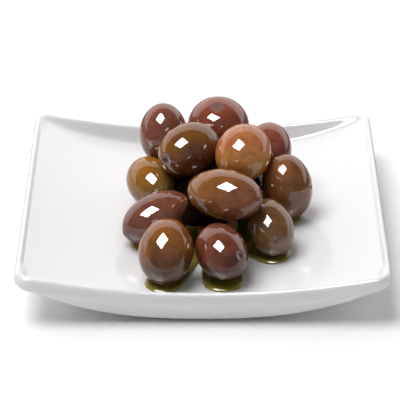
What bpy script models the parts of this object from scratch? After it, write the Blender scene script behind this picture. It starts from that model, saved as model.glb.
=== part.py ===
"""A square white porcelain dish, curved up at two sides, with a heap of brown olives in a little oil.

Metres, +Z up. X runs between the two raised edges and Y between the two low walls. The origin is
the middle of the underside, on the plane that the foot stands on.
"""

import math

import bmesh
import bpy
import numpy as np
from mathutils import Vector

MM = 0.001

# Dish
SIDE = 140 * MM
CORNER_RADIUS = 6.5 * MM
LEAST_RADIUS = 0.4 * MM
CREST_MIDDLE = 12.6 * MM
CREST_RISE = 7.5 * MM
FLOOR_MIDDLE = 5.7 * MM
FLOOR_RISE = 14.2 * MM
UNDER_MIDDLE = 1.0 * MM
UNDER_RISE = 14.5 * MM
SWEEP_POWER = 2.5
SIDE_STEPS = 20
CORNER_STEPS = 5
UNDER_INSETS = (54, 38, 25, 15)
FLOOR_INSETS = (9, 16, 26, 39, 54)

# Section of the dish's edge, from underneath, round the lip and down the inner wall:
# inset in mm, share of the crest's height, share of the underside's height, drop in mm
EDGE_SECTION = (
    (8.0, 0.00, 1.00, 0.0),
    (3.4, 0.00, 1.00, 0.0),
    (2.3, 0.00, 1.00, -0.4),
    (1.3, 0.45, 0.55, 1.2),
    (0.3, 1.00, 0.00, 4.9),
    (0.0, 1.00, 0.00, 3.2),
    (0.25, 1.00, 0.00, 1.5),
    (0.8, 1.00, 0.00, 0.5),
    (1.6, 1.00, 0.00, 0.0),
    (2.3, 0.96, 0.00, 0.0),
    (2.9, 0.82, 0.00, 0.0),
    (3.6, 0.50, 0.00, 0.0),
    (4.3, 0.20, 0.00, 0.0),
    (5.0, 0.05, 0.00, 0.0),
    (5.8, 0.00, 0.00, 0.0),
)

# The inner wall stands at the front and back; along the raised sides only a low lip is left
WALL_STARTS = 56 * MM
WALL_FULL = 63 * MM
LIP_STARTS = 1.6 * MM
LIP_ENDS = 3.2 * MM

# Foot ring under the dish
FOOT_X = 41 * MM
FOOT_Y = 60.5 * MM
FOOT_WIDTH = 3.2 * MM
FOOT_CHAMFER = 0.5 * MM
FOOT_BITE = 1.5 * MM

# Olives. Their flat faces lie inside the round skin, so their corners lie a little outside it.
OLIVE_AROUND = 16
OLIVE_RINGS = 10
OLIVE_SWELL = 0.15 * MM
CORE_SHARE = 0.86

# How the olives settle
FLOOR_GAP = 0.45 * MM
TOUCH_GAP = 0.05 * MM
SETTLE_ROUNDS = 400
SETTLE_DROP = 0.04 * MM
SETTLE_PULL = 0.02
SETTLE_EASE = 0.75
SETTLE_STRIDE = 1.3
PROBE_COUNT = 600

# Oil, with a gap to the dish and to the olives. An olive whose lowest point is within OIL_WETS
# of the dish's floor stands in it.
OIL_GAP = 0.3 * MM
OIL_DEPTH = 1.0 * MM
OIL_WETS = 1.8 * MM
OIL_LOBE = 9.0 * MM
OIL_THINNING = 1.5
OIL_LEAST_REACH = 24 * MM
OIL_MIDDLE = Vector((4 * MM, -6 * MM))
OIL_STEPS = 88

# Section of the pool from the middle of its underside, round its edge, to the middle of its
# surface: share of the way out, share of the depth
OIL_SECTION = (
    (0.25, 0.0),
    (0.50, 0.0),
    (0.72, 0.0),
    (0.88, 0.0),
    (0.99, 0.0),
    (1.00, 0.35),
    (0.96, 0.8),
    (0.88, 1.0),
    (0.72, 1.0),
    (0.50, 1.0),
    (0.25, 1.0),
)

# Above these angles, in degrees, an edge stays sharp
DISH_SHARP = 40
OLIVE_SHARP = 60

# The heap is seen from the front, from this far above the table top
LOOK_DOWN = math.radians(28.2)
SIGHT = np.array((0.0, math.cos(LOOK_DOWN), -math.sin(LOOK_DOWN)))
RIGHT = np.array((1.0, 0.0, 0.0))
UP = np.array((0.0, math.sin(LOOK_DOWN), math.cos(LOOK_DOWN)))

# Name: middle in mm, the long axis as seen (degrees from +X, degrees towards the viewer),
# half length and two half widths in mm. These show from the front and keep their place there.
SHOWN = {
    "back_left": ((-15.7, 26.1, 31.1), (90, 20), (12.5, 9.5, 9.5)),
    "top_back": ((6.3, 24.7, 35.4), (90, 48), (12.2, 12.3, 11.8)),
    "upper_left": ((-5.1, 5.1, 34.7), (205, 28), (13.3, 10.7, 10.7)),
    "upper_right": ((15.8, -1.3, 36.4), (62, -25), (11.9, 10.9, 10.9)),
    "back_right": ((26.4, 24.1, 25.3), (90, -20), (10.7, 9.0, 9.0)),
    "right": ((33.1, 1.7, 19.9), (98, 24), (13.4, 10.0, 10.0)),
    "left": ((-20.1, 13.4, 15.5), (-50, 42), (12.4, 9.6, 9.6)),
    "front_top": ((8.4, -27.7, 32.2), (-9, 26), (15.3, 9.8, 9.8)),
    "lower_left": ((-17.6, -18.2, 17.0), (26, -12), (14.6, 9.7, 9.7)),
    "front_left": ((-13.9, -47.3, 18.3), (82, -12), (12.7, 10.4, 10.4)),
    "front_middle": ((7.0, -46.5, 17.7), (118, -38), (12.2, 9.6, 9.6)),
    "front_right": ((26.0, -28.4, 18.3), (-72, 24), (11.8, 8.8, 8.8)),
}

# The olives underneath and behind, which hold the others up: long axis as a plain direction
HIDDEN = {
    "under_front": ((5.5, -15.0, 15.0), (0.1, 0.95, 0.0), (9.6, 8.0, 8.0)),
    "under_middle": ((17.0, -1.0, 15.5), (0.9, 0.3, 0.0), (10.6, 8.6, 8.6)),
    "middle": ((14.0, -9.0, 24.0), (0.9, 0.4, 0.1), (8.0, 7.0, 7.0)),
    "inner_left": ((0.5, -4.5, 24.0), (0.8, 0.5, 0.0), (9.0, 7.8, 7.8)),
    "under_inner": ((-4.0, 11.0, 15.5), (0.3, 1.0, 0.0), (10.5, 8.8, 8.8)),
    "under_right": ((23.0, 18.0, 15.5), (0.9, 0.4, 0.0), (12.0, 9.0, 9.0)),
    "under_left": ((-8.0, 26.0, 16.0), (0.8, -0.3, 0.1), (11.5, 9.5, 9.5)),
    "behind": ((8.0, 41.0, 16.0), (0.9, 0.3, 0.0), (12.0, 9.7, 9.7)),
}


def clear_scene():
    for thing in list(bpy.data.objects):
        bpy.data.objects.remove(thing, do_unlink=True)


def sweep(x):
    """0 along the middle of the dish, 1 at its raised left and right edges."""
    return min(abs(x) / (SIDE / 2), 1.0)


def floor_height(x):
    return FLOOR_MIDDLE + FLOOR_RISE * sweep(x) ** SWEEP_POWER


def under_height(x):
    return UNDER_MIDDLE + UNDER_RISE * sweep(x) ** SWEEP_POWER


def crest_height(x):
    return CREST_MIDDLE + CREST_RISE * sweep(x) ** 2


def smooth_step(low, high, value):
    share = min(max((value - low) / (high - low), 0.0), 1.0)
    return share * share * (3 - 2 * share)


def rounded_rectangle(half_x, half_y, radius):
    """Corner arcs and evenly split sides, counter-clockwise; every outline has as many points."""
    points = []
    arcs = []
    for sign_x, sign_y, start in ((1, -1, -90), (1, 1, 0), (-1, 1, 90), (-1, -1, 180)):
        middle = Vector((sign_x * (half_x - radius), sign_y * (half_y - radius)))
        arc = []
        for step in range(CORNER_STEPS + 1):
            angle = math.radians(start + 90 * step / CORNER_STEPS)
            arc.append(middle + radius * Vector((math.cos(angle), math.sin(angle))))
        arcs.append(arc)
    for index, arc in enumerate(arcs):
        following = arcs[(index + 1) % len(arcs)][0]
        points.extend(arc)
        for step in range(1, SIDE_STEPS):
            points.append(arc[-1].lerp(following, step / SIDE_STEPS))
    return points


def add_ring(bm, outline, height):
    """height is a function of a point of the outline."""
    return [bm.verts.new((point.x, point.y, height(point))) for point in outline]


def bridge(bm, lower, upper):
    """Quads from one ring to the next."""
    count = len(lower)
    for index in range(count):
        after = (index + 1) % count
        bm.faces.new((lower[index], lower[after], upper[after], upper[index]))


def fan(bm, ring, middle):
    """Triangles from a ring to the point that closes it."""
    count = len(ring)
    for index in range(count):
        bm.faces.new((ring[index], ring[(index + 1) % count], middle))


def finish_mesh(bm, name, material, sharp_angle=DISH_SHARP):
    bmesh.ops.recalc_face_normals(bm, faces=bm.faces)
    mesh = bpy.data.meshes.new(name)
    bm.to_mesh(mesh)
    bm.free()
    mesh.materials.append(material)
    mesh.shade_smooth()
    mesh.set_sharp_from_angle(angle=math.radians(sharp_angle))
    piece = bpy.data.objects.new(name, mesh)
    bpy.context.scene.collection.objects.link(piece)
    return piece


def plain_material(name, colour, roughness, coat=0.0):
    material = bpy.data.materials.new(name)
    material.use_nodes = True
    shader = material.node_tree.nodes["Principled BSDF"]
    shader.inputs["Base Color"].default_value = (*colour, 1.0)
    shader.inputs["Roughness"].default_value = roughness
    shader.inputs["Metallic"].default_value = 0.0
    shader.inputs["Coat Weight"].default_value = coat
    return material


def inset_outline(inset):
    half = SIDE / 2 - inset
    return rounded_rectangle(half, half, max(CORNER_RADIUS - inset, LEAST_RADIUS))


def edge_height(inset, crest, below, drop):
    """Height of one ring of the dish's edge, as a function of its points."""
    lip = 1 - smooth_step(LIP_STARTS, LIP_ENDS, inset)

    def height(point):
        wall = smooth_step(WALL_STARTS, WALL_FULL, abs(point.y))
        raised = crest if below > 0 else crest * (wall + (1 - wall) * lip)
        inside = 1 - raised - below
        middle = raised * crest_height(point.x) + below * under_height(point.x)
        return middle + inside * floor_height(point.x) - drop

    return height


def dish_profile():
    """Rings from under the dish, round the lip and back in: each one's inset and its height at a point."""
    rings = [(inset * MM, lambda point: under_height(point.x)) for inset in UNDER_INSETS]
    for inset, crest, below, drop in EDGE_SECTION:
        rings.append((inset * MM, edge_height(inset * MM, crest, below, drop * MM)))
    rings += [(inset * MM, lambda point: floor_height(point.x)) for inset in FLOOR_INSETS]
    return rings


def make_dish(material):
    bm = bmesh.new()
    rings = [add_ring(bm, inset_outline(inset), height) for inset, height in dish_profile()]
    for lower, upper in zip(rings, rings[1:]):
        bridge(bm, lower, upper)
    fan(bm, rings[0], bm.verts.new((0, 0, UNDER_MIDDLE)))
    fan(bm, rings[-1], bm.verts.new((0, 0, FLOOR_MIDDLE)))
    dish = finish_mesh(bm, "dish", material)
    foot = make_foot(material)
    apply_boolean(dish, [foot], "UNION", "foot_join")
    return dish


def make_foot(material):
    """A closed ring of rectangular section that reaches a little way into the dish."""

    def ring(inset, height):
        outline = rounded_rectangle(FOOT_X - inset, FOOT_Y - inset, CORNER_RADIUS - inset)
        return add_ring(bm, outline, height)

    bm = bmesh.new()
    rings = [
        ring(FOOT_CHAMFER, lambda point: 0.0),
        ring(0.0, lambda point: FOOT_CHAMFER),
        ring(0.0, lambda point: under_height(point.x) + FOOT_BITE),
        ring(FOOT_WIDTH, lambda point: under_height(point.x) + FOOT_BITE),
        ring(FOOT_WIDTH, lambda point: FOOT_CHAMFER),
        ring(FOOT_WIDTH - FOOT_CHAMFER, lambda point: 0.0),
    ]
    for lower, upper in zip(rings, rings[1:] + rings[:1]):
        bridge(bm, lower, upper)
    return finish_mesh(bm, "foot", material)


def apply_boolean(piece, others, operation, label):
    """One Boolean with a collection of other objects, applied; the others are then removed."""
    group = bpy.data.collections.new(label)
    bpy.context.scene.collection.children.link(group)
    for other in others:
        bpy.context.scene.collection.objects.unlink(other)
        group.objects.link(other)
    modifier = piece.modifiers.new(label, "BOOLEAN")
    modifier.operation = operation
    modifier.operand_type = "COLLECTION"
    modifier.collection = group
    modifier.solver = "EXACT"
    modifier.use_self = True
    view = bpy.context.evaluated_depsgraph_get()
    joined = bpy.data.meshes.new_from_object(piece.evaluated_get(view))
    piece.modifiers.remove(modifier)
    piece.data = joined
    for other in others:
        bpy.data.objects.remove(other, do_unlink=True)
    bpy.data.collections.remove(group)


def seen_axis(turn, towards):
    """A direction given as it looks from the front: degrees from +X, degrees towards the viewer."""
    turn = math.radians(turn)
    towards = math.radians(towards)
    flat = math.cos(turn) * RIGHT + math.sin(turn) * UP
    return math.cos(towards) * flat - math.sin(towards) * SIGHT


def olive_basis(axis):
    """Columns: the long axis, a level direction across it, and the third one."""
    axis = np.array(axis, float) / np.linalg.norm(axis)
    across = np.cross(axis, (0.0, 0.0, 1.0))
    across /= np.linalg.norm(across)
    return np.stack([axis, across, np.cross(across, axis)], axis=1)


def read_olives():
    """Each olive's name, middle, basis, half sizes and whether it shows from the front, in metres."""
    olives = []
    for name, (middle, (turn, towards), halves) in SHOWN.items():
        basis = olive_basis(seen_axis(turn, towards))
        olives.append([name, np.array(middle) * MM, basis, np.array(halves) * MM, True])
    for name, (middle, axis, halves) in HIDDEN.items():
        olives.append([name, np.array(middle) * MM, olive_basis(axis), np.array(halves) * MM, False])
    return olives


def probe_directions():
    """Directions spread evenly over a sphere."""
    index = np.arange(PROBE_COUNT) + 0.5
    height = 1 - 2 * index / PROBE_COUNT
    turn = math.pi * (1 + math.sqrt(5)) * index
    radius = np.sqrt(1 - height * height)
    return np.stack([radius * np.cos(turn), radius * np.sin(turn), height], axis=1)


def floor_under(points):
    return FLOOR_MIDDLE + FLOOR_RISE * np.abs(points[:, 0] / (SIDE / 2)) ** SWEEP_POWER


def settle(olives):
    """Lets the olives sink a little and moves them apart until none cuts into another or the floor.

    A pull holds each near its place at first. Both it and the sinking fade out, and then olives only
    make room. Those that show from the front move along the line of sight and keep their place there.
    """
    probes = probe_directions()
    spreads = [basis @ np.diag(halves**2) @ basis.T for _, _, basis, halves, _ in olives]
    reach = [np.sqrt(np.einsum("ni,ij,nj->n", probes, spread, probes)) for spread in spreads]
    skins = [probes @ spread / far[:, None] for spread, far in zip(spreads, reach)]
    middles = np.array([olive[1] for olive in olives])
    places = middles.copy()
    shown = np.array([olive[4] for olive in olives])
    for turn in range(SETTLE_ROUNDS):
        fade = max(0.0, 1 - turn / (SETTLE_EASE * SETTLE_ROUNDS))
        push = SETTLE_PULL * fade * (places - middles)
        push[:, 2] -= SETTLE_DROP * fade
        for first in range(len(olives)):
            for second in range(first + 1, len(olives)):
                apart = probes @ (middles[second] - middles[first]) - reach[first] - reach[second]
                best = apart.argmax()
                if apart[best] < TOUCH_GAP:
                    step = 0.5 * (TOUCH_GAP - apart[best]) * probes[best]
                    push[first] -= step
                    push[second] += step
            skin = middles[first] + skins[first]
            clearance = (skin[:, 2] - floor_under(skin)).min()
            push[first, 2] += max(0.0, FLOOR_GAP - clearance)
        along = SETTLE_STRIDE * (push @ SIGHT)[:, None] * SIGHT
        middles = middles + np.where(shown[:, None], along, push)
    for olive, middle in zip(olives, middles):
        olive[1] = middle


def make_olive(olive, material, swell):
    """An ellipsoid with few sides; its poles are the ends of its long axis."""
    name, middle, basis, halves, _ = olive
    halves = halves + swell
    bm = bmesh.new()
    rings = []
    for row in range(1, OLIVE_RINGS):
        polar = math.pi * row / OLIVE_RINGS
        ring = []
        for column in range(OLIVE_AROUND):
            turn = 2 * math.pi * (column + 0.5 * (row % 2)) / OLIVE_AROUND
            local = (-math.cos(polar), math.sin(polar) * math.cos(turn), math.sin(polar) * math.sin(turn))
            ring.append(bm.verts.new(middle + basis @ (halves * local)))
        rings.append(ring)
    for row, (lower, upper) in enumerate(zip(rings, rings[1:])):
        for column in range(OLIVE_AROUND):
            after = (column + 1) % OLIVE_AROUND
            if row % 2:
                bm.faces.new((lower[column], lower[after], upper[column]))
                bm.faces.new((lower[after], upper[after], upper[column]))
            else:
                bm.faces.new((lower[column], lower[after], upper[after]))
                bm.faces.new((lower[column], upper[after], upper[column]))
    fan(bm, rings[0], bm.verts.new(middle - basis[:, 0] * halves[0]))
    fan(bm, rings[-1], bm.verts.new(middle + basis[:, 0] * halves[0]))
    return finish_mesh(bm, name, material, OLIVE_SHARP)


def make_core(olives, material):
    """The hull of the olives' middles, drawn in so that it stays inside the heap."""
    middles = np.array([olive[1] for olive in olives])
    centre = middles.mean(axis=0)
    bm = bmesh.new()
    for middle in middles:
        bm.verts.new(centre + CORE_SHARE * (middle - centre))
    hull = bmesh.ops.convex_hull(bm, input=bm.verts)
    spare = [part for part in hull["geom_interior"] if isinstance(part, bmesh.types.BMVert)]
    bmesh.ops.delete(bm, geom=spare, context="VERTS")
    return finish_mesh(bm, "olive_heap", material)


def make_heap(olives, material):
    heap = make_core(olives, material)
    skins = [make_olive(olive, material, OLIVE_SWELL) for olive in olives]
    apply_boolean(heap, skins, "UNION", "heap_join")
    keep_largest(heap)
    heap.data.shade_smooth()
    heap.data.set_sharp_from_angle(angle=math.radians(OLIVE_SHARP))
    return heap


def keep_largest(piece):
    """Drops loose scraps and sealed hollows: only the body that reaches furthest from front to back stays."""
    bm = bmesh.new()
    bm.from_mesh(piece.data)
    unseen = set(bm.verts)
    bodies = []
    while unseen:
        front = [unseen.pop()]
        body = set(front)
        while front:
            for edge in front.pop().link_edges:
                for vertex in edge.verts:
                    if vertex in unseen:
                        unseen.discard(vertex)
                        body.add(vertex)
                        front.append(vertex)
        bodies.append(body)
    bodies.sort(key=lambda body: max(v.co.y for v in body) - min(v.co.y for v in body))
    for body in bodies[:-1]:
        bmesh.ops.delete(bm, geom=list(body), context="VERTS")
    bm.to_mesh(piece.data)
    bm.free()


def olive_foot(olive):
    """The lowest point of an olive."""
    _, middle, basis, halves, _ = olive
    spread = basis @ np.diag(halves**2) @ basis.T
    down = np.array((0.0, 0.0, -1.0))
    return middle + spread @ down / math.sqrt(down @ spread @ down)


def oil_outline(feet):
    """The pool reaches a little past each olive that stands in it, so its edge is lobed."""
    outline = []
    for step in range(OIL_STEPS):
        turn = 2 * math.pi * step / OIL_STEPS
        heading = Vector((math.cos(turn), math.sin(turn)))
        reach = OIL_LEAST_REACH
        for foot in feet:
            offset = Vector((foot[0], foot[1])) - OIL_MIDDLE
            along = offset.dot(heading)
            aside = abs(offset.cross(heading))
            lobe = OIL_LOBE * (1 - OIL_THINNING * sweep(foot[0]) ** 2)
            if aside < lobe:
                reach = max(reach, along + math.sqrt(lobe**2 - aside**2))
        outline.append(heading * reach)
    smooth = []
    for step, point in enumerate(outline):
        before = outline[step - 1]
        after = outline[(step + 1) % OIL_STEPS]
        smooth.append(OIL_MIDDLE + (before + 2 * point + after) / 4)
    return smooth


def make_oil(olives, material):
    """A shallow pool on the dish's floor, open round each olive that stands in it."""
    in_oil = []
    for olive in olives:
        foot = olive_foot(olive)
        if foot[2] - floor_height(foot[0]) < OIL_WETS:
            in_oil.append(olive)
    outline = oil_outline([olive_foot(olive) for olive in in_oil])
    bm = bmesh.new()
    rings = []
    for share, depth in OIL_SECTION:
        shrunk = [OIL_MIDDLE.lerp(point, share) for point in outline]
        lift = OIL_GAP + depth * OIL_DEPTH
        rings.append(add_ring(bm, shrunk, lambda point: floor_height(point.x) + lift))
    for lower, upper in zip(rings, rings[1:]):
        bridge(bm, lower, upper)
    low = floor_height(OIL_MIDDLE.x) + OIL_GAP
    fan(bm, rings[0], bm.verts.new((*OIL_MIDDLE, low)))
    fan(bm, rings[-1], bm.verts.new((*OIL_MIDDLE, low + OIL_DEPTH)))
    oil = finish_mesh(bm, "oil", material)
    cutters = [make_olive(olive, material, OLIVE_SWELL + OIL_GAP) for olive in in_oil]
    apply_boolean(oil, cutters, "DIFFERENCE", "oil_cut")
    keep_largest(oil)
    return oil


def main():
    clear_scene()
    porcelain = plain_material("white_porcelain", (0.90, 0.91, 0.92), 0.12, coat=0.4)
    olive_skin = plain_material("olive_skin", (0.13, 0.05, 0.025), 0.22, coat=0.5)
    olive_oil = plain_material("olive_oil", (0.20, 0.17, 0.02), 0.05)
    olives = read_olives()
    settle(olives)
    make_dish(porcelain)
    make_heap(olives, olive_skin)
    make_oil(olives, olive_oil)


main()
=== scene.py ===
"""A white porcelain dish of brown olives in a little oil, on a pale studio floor.

Metres, +Z up. X runs between the dish's raised edges, and the camera looks along +Y.
"""

import math

import bmesh
import bpy
import numpy as np
from bpy.props import FloatProperty, FloatVectorProperty, IntProperty, PointerProperty
from mathutils import Matrix, Vector, noise


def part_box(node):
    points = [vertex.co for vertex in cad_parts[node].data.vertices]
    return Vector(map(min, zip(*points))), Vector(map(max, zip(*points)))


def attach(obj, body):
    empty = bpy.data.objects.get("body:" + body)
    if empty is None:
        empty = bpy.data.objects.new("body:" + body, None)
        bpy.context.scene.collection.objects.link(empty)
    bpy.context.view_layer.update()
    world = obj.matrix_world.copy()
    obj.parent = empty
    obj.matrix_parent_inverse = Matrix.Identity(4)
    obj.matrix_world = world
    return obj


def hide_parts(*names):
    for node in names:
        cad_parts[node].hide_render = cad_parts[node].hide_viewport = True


bl_info = {
    "name": "Dish of olives",
    "version": (1, 0, 0),
    "blender": (4, 5, 0),
    "location": "3D View > Sidebar > Olives",
    "description": "Builds a porcelain dish with a heap of olives in oil",
    "category": "Object",
}

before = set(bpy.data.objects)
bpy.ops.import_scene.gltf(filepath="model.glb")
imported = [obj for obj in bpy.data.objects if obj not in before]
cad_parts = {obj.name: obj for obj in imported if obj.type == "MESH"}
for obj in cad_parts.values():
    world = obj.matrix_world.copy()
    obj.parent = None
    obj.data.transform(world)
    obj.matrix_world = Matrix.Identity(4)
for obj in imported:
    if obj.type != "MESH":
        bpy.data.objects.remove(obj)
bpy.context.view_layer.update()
MM = 0.001

# The dish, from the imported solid's own size
DISH_LOW, DISH_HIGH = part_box("dish")
SIDE = float(DISH_HIGH[0] - DISH_LOW[0])
HALF_SIDE = SIDE / 2
CORNER_RADIUS = 6.5 * MM
CREST_MIDDLE = 12.6 * MM
CREST_RISE = 7.5 * MM
FLOOR_MIDDLE = 5.7 * MM
FLOOR_RISE = 14.2 * MM
UNDER_MIDDLE = 1.0 * MM
UNDER_RISE = 14.5 * MM
SWEEP_POWER = 2.5
LEAST_RADIUS = 0.4 * MM
CORNER_STEPS = 10
SIDE_STEPS = 46
PROFILE_STEPS = 5
UNDER_STEPS = 8
FLOOR_INSETS = (12, 16, 21, 27, 34, 42, 51, 60)

# Foot ring
FOOT_X = 41 * MM
FOOT_Y = 60.5 * MM
FOOT_WIDTH = 3.2 * MM
FOOT_CHAMFER = 0.5 * MM
# Innermost ring of the underside: half sides and corner radius
UNDER_CENTRE = (FOOT_X / 6, FOOT_Y / 6, FOOT_X / 20)

# Section of the dish's edge, from underneath, round the lip and down the inner wall:
# inset in mm, share of the crest's height, share of the underside's height, drop in mm
EDGE_SECTION = (
    (8.0, 0.00, 1.0, 0.0),
    (3.4, 0.00, 1.0, 0.0),
    (2.3, 0.00, 1.0, -0.4),
    (1.3, 0.45, 0.55, 1.2),
    (0.3, 1.00, 0.0, 4.9),
    (0.0, 1.00, 0.0, 3.2),
    (0.25, 1.00, 0.0, 1.5),
    (0.8, 1.00, 0.0, 0.5),
    (1.6, 1.00, 0.0, 0.0),
    (2.3, 0.96, 0.0, 0.0),
    (2.9, 0.82, 0.0, 0.0),
    (3.6, 0.50, 0.0, 0.0),
    (4.3, 0.20, 0.0, 0.0),
    (5.0, 0.05, 0.0, 0.0),
    (5.8, 0.00, 0.0, 0.0),
    (9.0, 0.00, 0.0, 0.0),
)

# The inner wall stands at the front and back; along the raised sides only a low lip is left
WALL_STARTS = 56 * MM
WALL_FULL = 63 * MM
LIP_STARTS = 1.6 * MM
LIP_ENDS = 3.2 * MM

# The camera's line of sight: level to the right, up in the picture, and away
LOOK_DOWN = math.radians(28.2)
SIGHT = np.array((0.0, math.cos(LOOK_DOWN), -math.sin(LOOK_DOWN)))
RIGHT = np.array((1.0, 0.0, 0.0))
UP = np.array((0.0, math.sin(LOOK_DOWN), math.cos(LOOK_DOWN)))
AIM = Vector((-1.08 * MM, -9.83 * MM, 20.33 * MM))
CAMERA_DISTANCE = 924.6 * MM
LENS = 213.4

# How the olives settle, as in the solids
FLOOR_GAP = 0.45 * MM
TOUCH_GAP = 0.05 * MM
SETTLE_ROUNDS = 400
SETTLE_DROP = 0.04 * MM
SETTLE_PULL = 0.02
SETTLE_EASE = 0.75
SETTLE_STRIDE = 1.3
PROBE_COUNT = 600
CORE_SHARE = 0.68
CORE_CUTS = 5
CORE_SMOOTHINGS = 3
CORE_LUMP_LENGTH = 9.0 * MM
CORE_LUMP_HEIGHT = 0.8 * MM

# Olives that show from the front: middle in mm, the long axis as seen (degrees from +X,
# degrees towards the viewer), half length and two half widths in mm
SHOWN = {
    "back_left": ((-15.7, 26.1, 31.1), (90, 20), (12.5, 9.5, 9.5)),
    "top_back": ((6.3, 24.7, 35.4), (90, 48), (12.2, 12.3, 11.8)),
    "upper_left": ((-5.1, 5.1, 34.7), (205, 28), (13.3, 10.7, 10.7)),
    "upper_right": ((15.8, -1.3, 36.4), (62, -25), (11.9, 10.9, 10.9)),
    "back_right": ((26.4, 24.1, 25.3), (90, -20), (10.7, 9.0, 9.0)),
    "right": ((33.1, 1.7, 19.9), (98, 24), (13.4, 10.0, 10.0)),
    "left": ((-20.1, 13.4, 15.5), (-50, 42), (12.4, 9.6, 9.6)),
    "front_top": ((8.4, -27.7, 32.2), (-9, 26), (15.3, 9.8, 9.8)),
    "lower_left": ((-17.6, -18.2, 17.0), (26, -12), (14.6, 9.7, 9.7)),
    "front_left": ((-13.9, -47.3, 18.3), (82, -12), (12.7, 10.4, 10.4)),
    "front_middle": ((7.0, -46.5, 17.7), (118, -38), (12.2, 9.6, 9.6)),
    "front_right": ((26.0, -28.4, 18.3), (-72, 24), (11.8, 8.8, 8.8)),
}

# Olives underneath and behind: the long axis as a plain direction
HIDDEN = {
    "under_front": ((5.5, -15.0, 15.0), (0.1, 0.95, 0.0), (9.6, 8.0, 8.0)),
    "under_middle": ((17.0, -1.0, 15.5), (0.9, 0.3, 0.0), (10.6, 8.6, 8.6)),
    "middle": ((14.0, -9.0, 24.0), (0.9, 0.4, 0.1), (8.0, 7.0, 7.0)),
    "inner_left": ((0.5, -4.5, 24.0), (0.8, 0.5, 0.0), (9.0, 7.8, 7.8)),
    "under_inner": ((-4.0, 11.0, 15.5), (0.3, 1.0, 0.0), (10.5, 8.8, 8.8)),
    "under_right": ((23.0, 18.0, 15.5), (0.9, 0.4, 0.0), (12.0, 9.0, 9.0)),
    "under_left": ((-8.0, 26.0, 16.0), (0.8, -0.3, 0.1), (11.5, 9.5, 9.5)),
    "behind": ((8.0, 41.0, 16.0), (0.9, 0.3, 0.0), (12.0, 9.7, 9.7)),
}

# Skin: main tone, second tone (both 0 to 255 as displayed), and the side that the second
# tone is on, as seen: degrees from +X, degrees towards the viewer. The tones are set to how
# each olive looks under the light, so some paint light and shade too: the paler underside of
# upper_right is painted light, and the darker lower sides of front_left and front_middle are
# painted shade.
SKIN_TONES_AND_SHADE = {
    "back_left": ((112, 62, 46), (108, 68, 48), (0, 20)),
    "top_back": ((120, 61, 42), (112, 60, 42), (270, 10)),
    "upper_left": ((108, 68, 20), (88, 52, 30), (330, 10)),
    "upper_right": ((152, 93, 56), (164, 114, 56), (270, 10)),
    "back_right": ((118, 62, 45), (95, 55, 42), (270, 10)),
    "right": ((100, 60, 26), (124, 80, 44), (180, 10)),
    "left": ((128, 84, 20), (112, 86, 34), (300, 10)),
    "front_top": ((120, 76, 36), (106, 62, 40), (330, 10)),
    "lower_left": ((98, 54, 42), (112, 70, 48), (350, 10)),
    "front_left": ((118, 72, 32), (84, 50, 22), (270, 10)),
    "front_middle": ((104, 58, 40), (72, 35, 18), (300, 10)),
    "front_right": ((98, 68, 40), (108, 78, 46), (200, 10)),
    # Painted shade: these two lie deep in the heap and are given near-black tones
    "middle": ((52, 36, 26), (42, 28, 20), (0, 10)),
    "under_middle": ((52, 36, 26), (42, 28, 20), (0, 10)),
}
HIDDEN_TONES = ((104, 56, 42), (122, 76, 34), (138, 90, 44), (96, 62, 36), (112, 52, 40))
HIDDEN_TONE_TURN = 70

# Stem scars that show: right and up from the olive's middle as seen, then radius, in mm
STEMS = {
    "top_back": (-0.5, 8.1, 2.8),
    "upper_left": (-9.6, -3.6, 2.2),
    "front_middle": (7.0, -1.0, 1.7),
    "front_right": (1.6, -5.1, 1.7),
    "right": (9.0, 0.0, 1.2),
}
HIDDEN_STEM_RADIUS = 1.7 * MM
STEM_DEPTH = 0.55 * MM
STEM_FALLOFF = 0.5
STEM_RIM_RATIO = 1.25
STEM_RIM_SHARE = 0.25
STEM_RIM_FALLOFF = 0.12
TIP_HEIGHT = 0.25 * MM
TIP_WIDTH = 1.4 * MM
WAVE_LENGTH = 7.0 * MM
RIPPLE_LENGTH = 3.2 * MM
NOISE_STRIDE = (13.7, 5.1, 2.3)
POLE_CROWDING = 1.35
# Painted shade: the skin's tones darken towards each olive's underside, down to this share
UNDERSIDE_PAINTED_SHADE = 0.52
TONE_DRIFT = 0.8
TONE_DRIFT_SCALE = 2.2
TONE_CHANGE = (-0.55, 0.75)
# Painted shade: the span of upward facing over which that darkening fades out
PAINTED_SHADE_CHANGE = (-0.8, 0.35)
RIPPLE_SHARE = 0.35

# How deep and dark the hole in the scar is, where it isn't fully so
SHALLOW_SCARS = {"top_back": 0.1, "front_right": 0.7}
# Olives whose stem end is flattened: how deep and how far across, in mm
FLAT_ENDS = {"top_back": (0.8, 4.2)}

# Oil pool. An olive whose lowest point is within OIL_WETS of the dish's floor stands in it.
OIL_WETS = 1.8 * MM
OIL_LOBE = 9.0 * MM
OIL_THINNING = 1.5
OIL_LEAST_REACH = 24 * MM
OIL_MIDDLE = Vector((4 * MM, -6 * MM))
OIL_STEPS = 264
OIL_ROWS = 44
OIL_ROW_CROWDING = 1.8
OIL_UNDER_EVERY = 6
OIL_SMOOTHINGS = 3
OIL_LIFT = 0.02 * MM
OIL_EDGE_BAND = 3.0 * MM
OIL_CLIMB = 0.45 * MM
OIL_CLIMB_WIDTH = 0.7 * MM

# Softboxes: where they stand as seen from the dish, how far off in metres, and their turn
SHINE_DIRECTION = Vector((-0.28, -0.34, 0.90))
SHINE_DISTANCE = 0.85
GLOW_DIRECTION = Vector((-0.33, 0.02, 0.94))
GLOW_DISTANCE = 1.5
KEY_TWIST = math.radians(-12)
SOFTBOX_COLOUR = (1.0, 0.985, 0.99)

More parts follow.
